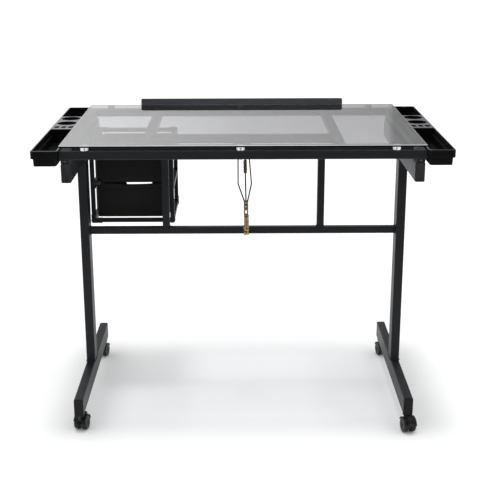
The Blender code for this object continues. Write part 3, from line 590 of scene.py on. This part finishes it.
def shade_strip():
    """Dark strips on the inner face of the near tube, up to the glass, notched over the inner tubes: painted shade
    for the dark gap under the glass, in the rest pads' rubber.
    """
    low, high = corners("top_rear_tube")
    top = corners("glass_top")[0].z - 0.0005
    low_edge, notch, face, thick = high.z - 0.0070, high.z + 0.0002, high.y + 0.0002, 0.0012
    inner_low, inner_high = corners("top_left_inner_tube")
    ends = (low.x + 0.0300, inner_low.x - 0.0002, inner_high.x + 0.0002)
    spans = (("left", ends[0], ends[1], low_edge), ("left_notch", ends[1], ends[2], notch),
             ("middle", ends[2], -ends[2], low_edge), ("right_notch", -ends[2], -ends[1], notch),
             ("right", -ends[1], -ends[0], low_edge))
    for word, start, end, bottom in spans:
        count = max(8, round((end - start) / 0.006))
        route = [Vector((start + (end - start) * i / count, face + thick / 2, (top + bottom) / 2))
                 for i in range(count + 1)]
        section = rounded_rectangle(thick, top - bottom, thick * 0.45, 3)
        work = bmesh.new()
        swept(work, route, section)
        # painted shade: a black strip standing in for the shade in the gap under the glass
        piece(f"gasket_{word}", work, pad_rubber, "table_top")


# ------------------------------------------------------------------ tilt stay
STAY_FOOT, STAY_HEAD = Vector((STAY_X, -0.0210, 0.4975)), Vector((STAY_X, -0.1130, 0.7500))
STAY_LEAN = math.atan2(STAY_FOOT.y - STAY_HEAD.y, STAY_HEAD.z - STAY_FOOT.z)
STAY = Matrix.Translation(STAY_FOOT) @ Matrix.Rotation(STAY_LEAN, 4, "X")


def channel_face():
    """The front of the stay's channel: two wings folded to a shallow roof, with a slot between them."""
    bottom, top, half, slot, face, ridge = -0.0095, 0.0528, 0.0068, 0.0020, -0.0081, -0.0096
    slot_low, slot_high, gauge = 0.0120, 0.0450, 0.0006
    work = bmesh.new()
    for side in (-1, 1):
        levels = [(bottom, 0.0004), (slot_low - slot, 0.0004), (slot_low, slot), (slot_high, slot),
                  (slot_high + slot, 0.0004), (top, 0.0004)]
        rings = []
        for height, inner in levels:
            depth = ridge + (face - ridge) * inner / half
            fold = (face + ridge) / 2 - 0.0002
            rings.append([(side * inner, depth, height), (side * half * 0.55, fold, height),
                          (side * half, face, height), (side * half, face + gauge, height),
                          (side * half * 0.55, fold + gauge, height), (side * inner, depth + gauge, height)])
        skin(work, rings)
    piece("stay_channel_face", work, chromate_painted_reflection, "stay_channel", STAY)
    for name, height, radius in (("upper", 0.0495, 0.0022), ("lower", 0.0000, 0.0038)):
        piece(f"stay_channel_pivot_{name}", rivet_head(radius, 0.0012), chromate_painted_reflection, "stay_channel",
              STAY @ aimed((0, ridge + 0.0002, height), (0, -1, 0)))


def stay_details():
    """The spring round the stay's rod, the trunnion rivets, and the screws of the upper bracket."""
    bottom, top, radius, gauge, pitch, wire_y = 0.1955, 0.2350, 0.0039, 0.0009, 0.00205, -0.0028
    turns = (top - bottom) / pitch
    steps = round(turns * 16)
    route = []
    for i in range(steps + 1):
        share = i / steps
        angle = 2 * math.pi * turns * share
        height = bottom + (top - bottom) * share
        middle = -0.0012 - 0.0028 * (height - 0.096) / 0.1437
        route.append(Vector((middle + radius * math.cos(angle), wire_y + radius * math.sin(angle), height)))
    circle = [(gauge * math.cos(a), gauge * math.sin(a)) for a in (math.pi * k / 3 for k in range(6))]
    work = bmesh.new()
    swept(work, route, circle)
    piece("stay_spring", work, zinc_spring, "stay_yoke", STAY, 80)
    for side, word in ((-1, "left"), (1, "right")):
        piece(f"trunnion_rivet_{word}", rivet_head(0.0034, 0.0007), chromate_painted_reflection, "stay_channel",
              STAY @ aimed((side * 0.0083, -0.0040, 0), (side, 0, 0)))
    channel_face()
    low, high = corners("stay_upper_bracket")
    plate = corners("top_cross_tube")[0].z - 0.0022
    for side, word in ((-1, "left"), (1, "right")):
        at = (side * 0.0070, (low.y + high.y) / 2, plate)
        piece(f"stay_bracket_screw_{word}", screw_head(0.0030, 0.0014), screw_grey, "table_top",
              aimed(at, (0, 0, -1)))


# ------------------------------------------------------------------ casters
def caster_details():
    """A domed cap with a ring groove on the outer face of each wheel."""
    outline = arc((0, 0), 1.0, 0, 360 * 31 / 32, 31)
    levels = [(-0.0008, 0.0066), (0.0002, 0.0066), (0.0005, 0.0062), (0.0005, 0.0052), (0.0001, 0.0049),
              (0.0001, 0.0042), (0.0006, 0.0038), (0.0009, 0.0028), (0.0011, 0.0014)]
    for name in ("rear_left", "rear_right", "front_left", "front_right"):
        joint = next(j for j in frame["joints"] if j["name"] == f"{name}_roll")
        axis = Vector(joint["axis"]).normalized()
        centre = Vector(joint["pos_m"])
        for side, word in ((-1, "outer"), (1, "inner")):
            work = bmesh.new()
            skin(work, stacked(outline, levels))
            piece(f"{name}_hub_cap_{word}", work, wheel_plastic, f"{name}_wheels",
                  aimed(centre + side * 0.0162 * axis, side * axis))


# ------------------------------------------------------------------ drawer unit
def sleeve(work, start, direction, length, size=0.0140):
    """A socket round a tube, with a raised lip at its open end."""
    steps = ((0.0, 0.90), (0.15, 1.0), (0.80, 1.0), (0.84, 1.06), (0.97, 1.06), (1.0, 0.98))
    outline = rounded_rectangle(size, size, 0.0032)
    rings = stacked(outline, [(length * share, scale) for share, scale in steps])
    matrix = aimed(start, direction)
    skin(work, [[matrix @ Vector(point) for point in ring] for ring in rings])


def ball(work, centre, radius, square=0.75):
    """A rounded corner block, between a ball and a cube."""
    made = bmesh.ops.create_icosphere(work, subdivisions=3, radius=1.0)["verts"]
    for vert in made:
        way = vert.co.normalized()
        longest = max(abs(c) for c in way)
        vert.co = centre + way * radius * (1 + (1 - square) * (1 / longest - 1) * 0.6)


def corner_sockets():
    """Moulded elbows at the unit's bottom corners and front top corners."""
    left_low, left_high = corners("drawer_left_frame")
    right_high = corners("drawer_right_frame")[1]
    half = TUBE / 2
    places = (("left", left_low.x + half, 1, 0.0240), ("right", right_high.x - half, -1, 0.0130))
    for word, x, inward, reach in places:
        for end, y, ahead in (("rear", left_low.y + half, 1), ("front", left_high.y - half, -1)):
            for level, z, up in (("bottom", left_low.z + half, 1), ("top", left_high.z - half, -1)):
                if end == "rear" and level == "top":
                    continue
                at = Vector((x, y, z - 0.0008 * up))
                work = bmesh.new()
                ball(work, at, 0.0084)
                sleeve(work, at, (inward, 0, 0), reach)
                sleeve(work, at - Vector((inward * 0.0008, 0, 0)), (0, 0, up), 0.0160, 0.0128)
                sleeve(work, at - Vector((inward * 0.0008, 0, 0)), (0, ahead, 0), 0.0180, 0.0128)
                piece(f"unit_{end}_{level}_{word}_elbow", work, cap_plastic, "stand")


def rear_stops():
    """Rounded blocks on the rear uprights that the lower bin comes to rest against."""
    low = corners("drawer_left_frame")[0]
    mirror = low.x + corners("drawer_right_frame")[1].x
    z, y = 0.6235, low.y + 0.0062
    for word, side in (("left", 1), ("right", -1)):
        start = low.x + 0.0026 if side > 0 else mirror - low.x - 0.0026
        reach = 0.0262 if side > 0 else 0.0150
        outline = rounded_rectangle(0.0132, 0.0140, 0.0045)
        work = bmesh.new()
        levels = ((0.0, 0.70), (0.0015, 0.92), (0.0040, 1.0), (reach - 0.0040, 1.0), (reach - 0.0015, 0.92),
                  (reach, 0.70))
        skin(work, stacked(outline, levels))
        piece(f"unit_stop_{word}", work, cap_plastic, "stand", aimed((start, y, z), (side, 0, 0)))


# ------------------------------------------------------------------ fabric bins
def smooth_step(value, start, end):
    """From 0 at the start to 1 at the end, level at both."""
    share = min(max((value - start) / (end - start), 0.0), 1.0)
    return share * share * (3 - 2 * share)


class Bin:
    """The shape of one sewn bin: where its wall stands and how high its edge is at each point round it."""

    def __init__(self, name):
        low, high = corners(name)
        lip = 0.0043                       # the side hems reach this far out, onto the runners
        self.name = name.replace("_drawer_bin", "")
        self.left, self.right = low.x + lip, high.x - lip
        self.rear, self.front = low.y, high.y
        self.low, self.rim = low.z, high.z
        self.corner = 0.0080
        self.wall = 0.0026
        self.steps = 44                    # points along each side
        self.sag = 0.0034                  # dip in the middle of the rear edge
        lower = self.name == "lower"
        self.low -= 0.0013 if lower else 0.0   # the loaded lower bin hangs a little
        self.scoop_half, self.scoop_floor = (0.0350, 0.0370) if lower else (0.0, 1.0)
        self.seed = Vector((3.1, 7.7, 1.3)) if self.name == "upper" else Vector((9.4, 2.2, 5.8))

    def loop(self, inset=0.0):
        """Points round the bin, each with its outward direction, its side and its share along the side."""
        middle = Vector(((self.left + self.right) / 2, (self.rear + self.front) / 2, 0))
        wide, deep = (self.right - self.left) / 2, (self.front - self.rear) / 2
        radius = self.corner
        points = []
        for side, way, along, reach, half in (
            ("front", Vector((0, 1, 0)), Vector((-1, 0, 0)), deep, wide),
            ("left", Vector((-1, 0, 0)), Vector((0, -1, 0)), wide, deep),
            ("rear", Vector((0, -1, 0)), Vector((1, 0, 0)), deep, wide),
            ("right", Vector((1, 0, 0)), Vector((0, 1, 0)), wide, deep),
        ):
            flat = half - radius
            for i in range(self.steps + 1):
                offset = -flat + 2 * flat * i / self.steps
                at = middle + way * (reach - inset) + along * offset
                points.append((at, way, side, (offset / half + 1) / 2))
            for k in range(1, 5):
                angle = math.radians(90 * k / 5)
                out = way * math.cos(angle) + along * math.sin(angle)
                at = middle + way * (reach - radius) + along * flat + out * (radius - inset)
                points.append((at, out, side, 1.0))
        return points

    def edge(self, at, side):
        """Height of the top edge: the rear edge sags, and the user's side has a scooped opening."""
        middle = (self.left + self.right) / 2
        if side == "rear":
            share = (at.x - middle) / ((self.right - self.left) / 2)
            return self.rim - self.sag * (1 - share * share) ** 1.5 if abs(share) < 1 else self.rim
        if side == "front" and self.scoop_half:
            away = abs(at.x - middle)
            return self.low + self.scoop_floor + (self.rim - self.low - self.scoop_floor) * smooth_step(
                away, self.scoop_half - 0.006, self.scoop_half + 0.028)
        return self.rim

    def bulge(self, at, side, along, share):
        """How far the wall swells out at a share of its height."""
        amount = {"left": 0.0044, "right": 0.0044, "rear": 0.0015, "front": 0.0012}[side]
        flat = max(0.0, 1 - abs(2 * along - 1) ** (16 if side in ("left", "right") else 5))
        upward = smooth_step(share, 0.0, 0.16) * (1 - smooth_step(share, 0.81, 0.87))
        crumple = noise_at(Vector((at.x, at.y, at.z)) * 24 + self.seed) * 0.0002
        return (amount + crumple) * flat * upward


def bin_shell(shape):
    """Outer walls, floor and inner walls in one closed skin."""
    rows = 16
    outer, inner = shape.loop(), shape.loop(shape.wall)
    rings = []
    centre = Vector(((shape.left + shape.right) / 2, (shape.rear + shape.front) / 2, 0))

    def floor_ring(points, level, shrink):
        ring = []
        for at, out, side, along in points:
            flat = centre + (at - centre) * shrink
            ripple = noise_at(Vector((flat.x, flat.y, 0)) * 18 + shape.seed) * 0.0004 * (1 - shrink)
            ring.append((flat.x, flat.y, level + ripple))
        return ring

    for shrink in (0.15, 0.35, 0.60, 0.80, 0.93, 0.975):
        rings.append(floor_ring(outer, shape.low + 0.0003, shrink))
    for k in range(rows + 1):
        ring = []
        for at, out, side, along in outer:
            share = k / rows
            start = shape.low + 0.0018
            z = start + (shape.edge(at, side) - 0.0012 - start) * share
            height = (z - shape.low) / (shape.rim - shape.low)
            swell = shape.bulge(Vector((at.x, at.y, z)), side, along, height)
            moved = at + out * (swell - (0.0010 if k == 0 else 0.0))
            ring.append((moved.x, moved.y, z))
        rings.append(ring)
    for k in range(rows, -1, -1):
        ring = []
        for at, out, side, along in inner:
            share = k / rows
            start = shape.low + shape.wall
            z = start + (shape.edge(at, side) - 0.0012 - start) * share
            height = (z - shape.low) / (shape.rim - shape.low)
            swell = shape.bulge(Vector((at.x, at.y, z)), side, along, height)
            moved = at + out * swell
            ring.append((moved.x, moved.y, z))
        rings.append(ring)
    for shrink in (0.93, 0.80, 0.60, 0.35, 0.15):
        rings.append(floor_ring(inner, shape.low + shape.wall, shrink))
    work = bmesh.new()
    skin(work, rings)
    return piece(f"{shape.name}_bin_cloth", work, fabric, f"{shape.name}_drawer", crease=60)


def edge_route(shape, inset):
    """The top edge of a bin, all the way round."""
    return [Vector((at.x, at.y, shape.edge(at, side))) for at, out, side, along in shape.loop(inset)]


def bin_binding(shape):
    """Tape folded over the top edge, following the sag and the scoop, with a row of stitches."""
    thick, tall = 0.0040, 0.0105
    route = edge_route(shape, shape.wall / 2)
    section = [(a, b - tall / 2 + 0.0002) for a, b in rounded_rectangle(thick, tall, 0.0016)]
    work = bmesh.new()
    swept(work, route, section, looped=True)
    piece(f"{shape.name}_bin_binding", work, binding, f"{shape.name}_drawer", crease=60)

    work = bmesh.new()
    pitch, length, gauge = 0.0052, 0.0036, 0.00035
    ring = [(gauge * math.cos(a), gauge * math.sin(a)) for a in (math.pi * k / 3 for k in range(6))]
    for face in (-thick / 2 - 0.0001, thick / 2 + 0.0001):
        count = len(route)
        travelled, target = 0.0, 0.0
        for i in range(count):
            here, there = route[i], route[(i + 1) % count]
            span = (there - here).length
            way = (there - here).normalized()
            across = way.cross(Vector((0, 0, 1))).normalized()
            up = across.cross(way)
            while target <= travelled + span:
                middle = here + way * (target - travelled) + across * face - up * (tall - 0.0022)
                sink = math.copysign(0.0002, -face)
                points = [middle + way * length * (s - 0.5) + across * (sink * depth)
                          for s, depth in ((0, 1), (0.15, 0), (0.85, 0), (1, 1))]
                swept(work, points, ring, lift=up)
                target += pitch
            travelled += span
    piece(f"{shape.name}_bin_stitches", work, thread, f"{shape.name}_drawer", crease=60)


def bin_hems(shape):
    """The stiffened hems at the sides, which slide on the runners."""
    reach, tall = 0.0038, 0.0044
    for word, x, out in (("left", shape.left, -1), ("right", shape.right, 1)):
        count = 30
        route = []
        for i in range(count + 1):
            y = shape.rear + 0.0030 + (shape.front - shape.rear - 0.0060) * i / count
            wave = noise_at(Vector((x, y, 0)) * 40 + shape.seed) * 0.0002
            route.append(Vector((x + out * (reach / 2 - 0.0006), y, shape.rim - tall / 2 + wave - 0.0001)))
        section = rounded_rectangle(reach + 0.0012, tall - 0.0002, 0.0017)
        work = bmesh.new()
        swept(work, route, section)
        piece(f"{shape.name}_bin_hem_{word}", work, binding, f"{shape.name}_drawer", crease=60)


def bin_piping(shape):
    """Corded seams round the floor and up the four corners."""
    gauge = 0.0011
    ring = [(gauge * math.cos(a), gauge * math.sin(a)) for a in (math.pi * k / 4 for k in range(8))]
    work = bmesh.new()
    points = shape.loop(0.0004)
    base = [Vector((at.x, at.y, shape.low + 0.0016)) for at, out, side, along in points]
    swept(work, base, ring, looped=True)
    for at, out, side, along in points:
        if along == 1.0 and abs(abs(out.x) - abs(out.y)) < 0.35:
            tall = shape.rim - 0.0110 - shape.low
            route = [Vector((at.x, at.y, shape.low + 0.0016 + tall * k / 12)) for k in range(13)]
            swept(work, route, ring, lift=(0, 1, 0))
    piece(f"{shape.name}_bin_piping", work, binding, f"{shape.name}_drawer", crease=60)


def fabric_bins():
    """Both sewn bins, in place of the plain solids."""
    for name in ("lower_drawer_bin", "upper_drawer_bin"):
        shape = Bin(name)
        shell = bin_shell(shape)
        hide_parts(name)
        bin_binding(shape)
        bin_hems(shape)
        bin_piping(shape)


ledge_screws()
frame_screws()
arm_caps()
welds()
shade_strip()
stay_details()
caster_details()
corner_sockets()
rear_stops()
fabric_bins()


# ------------------------------------------------------------------ studio
def studio():
    """A white surround that is dimmer in reflections, a pale floor with painted shade where it is seen through the
    glass or in reflections, and one broad overhead light.
    """
    scene = bpy.context.scene
    scene.view_settings.view_transform = "Standard"
    scene.view_settings.look = "None"
    world = bpy.data.worlds.new("studio")
    scene.world = world
    world.use_nodes = True
    tree = world.node_tree
    tree.nodes.clear()
    out = node(tree, "ShaderNodeOutputWorld")
    direction = node(tree, "ShaderNodeTexCoord").outputs["Generated"]
    parts = node(tree, "ShaderNodeSeparateXYZ", {"Vector": direction})
    rays = node(tree, "ShaderNodeLightPath")
    even = node(tree, "ShaderNodeBackground", {"Color": (0.99, 0.995, 1.0, 1), "Strength": 0.95})
    glow = ramp(tree, parts.outputs["Y"], 0.16, 0.40, -0.6, 0.7)
    glow = math_node(tree, "ADD", glow, ramp(tree, parts.outputs["X"], 0.05, -0.05, -0.6, 0.6))
    wall = ramp(tree, parts.outputs["X"], 1.03, 0.73, -0.15, 0.0)
    wall = math_node(tree, "MULTIPLY", wall, ramp(tree, parts.outputs["X"], 1.0, 0.76, 0.0, 0.13))
    wall = math_node(tree, "MULTIPLY", wall, ramp(tree, parts.outputs["X"], 1.0, 0.52, 0.143, 0.150))
    wall = math_node(tree, "MULTIPLY", wall, ramp(tree, parts.outputs["Z"], 0.91, 1.10, 0.174, 0.203))
    bright = node(tree, "ShaderNodeBackground", {"Color": (0.99, 0.99, 1.0, 1), "Strength": wall})
    behind = math_node(tree, "MULTIPLY", wall, ramp(tree, parts.outputs["Y"], 0.0, 0.6, 0.80, 0.95))
    glow = math_node(tree, "ADD", glow, behind)
    mirrored = node(tree, "ShaderNodeBackground", {"Color": (0.95, 0.96, 1.0, 1), "Strength": glow})
    white = node(tree, "ShaderNodeBackground", {"Color": (1, 1, 1, 1), "Strength": 1.1})
    seen = even
    for rule, other in (("Is Glossy Ray", mirrored), ("Is Singular Ray", bright),
                        ("Is Transmission Ray", white), ("Is Camera Ray", white)):
        seen = shaded(tree, rays.outputs[rule], seen, other)
    tree.links.new(seen.outputs[0], out.inputs["Surface"])

    floor_mesh = bpy.data.meshes.new("floor")
    reach = 14.0
    square = [(-reach, -reach, 0), (reach, -reach, 0), (reach, reach, 0), (-reach, reach, 0)]
    floor_mesh.from_pydata(square, [], [(0, 1, 2, 3)])
    floor = bpy.data.objects.new("floor", floor_mesh)
    bpy.context.collection.objects.link(floor)
    pale, floor_tree, shader = new_material("pale_floor_with_painted_shade")
    cloud = noise(floor_tree, 0.6, 2.0, 0.5)
    connect(floor_tree, shader, Base_Color=tint(floor_tree, cloud, (0.94, 0.94, 0.94), (0.96, 0.96, 0.96)),
            Roughness=0.9)
    shader.inputs["Specular IOR Level"].default_value = 0.1
    spot = node(floor_tree, "ShaderNodeSeparateXYZ", {"Vector": place(floor_tree)})
    paths = node(floor_tree, "ShaderNodeLightPath")
    # painted shade on the floor: darker right of the middle and far behind the table in views through the glass,
    # and on the camera's side in reflections
    floor_shade_through_glass = math_node(floor_tree, "MULTIPLY", ramp(floor_tree, spot.outputs["X"], 0.0, 1.0, -0.9, 0.1),
                        ramp(floor_tree, spot.outputs["Y"], 0.0, 1.0, 1.0, 1.6))
    floor_shade_through_glass = math_node(floor_tree, "MULTIPLY", floor_shade_through_glass, paths.outputs["Is Transmission Ray"])
    ahead = math_node(floor_tree, "MULTIPLY", ramp(floor_tree, spot.outputs["Y"], 1.0, 0.0, -1.2, -0.4),
                      paths.outputs["Is Glossy Ray"])
    painted_floor_shade = math_node(floor_tree, "MAXIMUM", math_node(floor_tree, "MULTIPLY", floor_shade_through_glass, 0.36),
                    math_node(floor_tree, "MULTIPLY", ahead, 0.75))
    dark = node(floor_tree, "ShaderNodeBsdfDiffuse", {"Color": (0.0, 0.0, 0.0, 1)})
    surface(floor_tree, shaded(floor_tree, painted_floor_shade, shader, dark))
    floor_mesh.materials.append(pale)

    lamp = bpy.data.lights.new("overhead", "SUN")
    lamp.energy = 0.95
    lamp.angle = math.radians(11)
    body = bpy.data.objects.new("overhead", lamp)
    bpy.context.collection.objects.link(body)
    body.rotation_euler = (math.radians(2), math.radians(-2), 0)


def camera():
    """The camera of the picture: behind the rear edge, a little left of the middle, looking down."""
    pitch, yaw, roll = 0.2966, 0.0028, -0.0031
    level = Vector((math.sin(yaw), math.cos(yaw), 0))
    right = Vector((math.cos(yaw), -math.sin(yaw), 0))
    ahead = math.cos(pitch) * level - math.sin(pitch) * Vector((0, 0, 1))
    up = right.cross(ahead)
    turned_right = math.cos(roll) * right + math.sin(roll) * up
    turned_up = math.cos(roll) * up - math.sin(roll) * right
    lens = bpy.data.cameras.new("camera")
    lens.sensor_width = 36
    lens.lens = 77.574
    body = bpy.data.objects.new("camera", lens)
    bpy.context.collection.objects.link(body)
    axes = Matrix((turned_right, turned_up, -ahead)).transposed().to_4x4()
    body.matrix_world = Matrix.Translation((-0.0153, -2.8205, 1.3243)) @ axes
    bpy.context.scene.camera = body


studio()
camera()
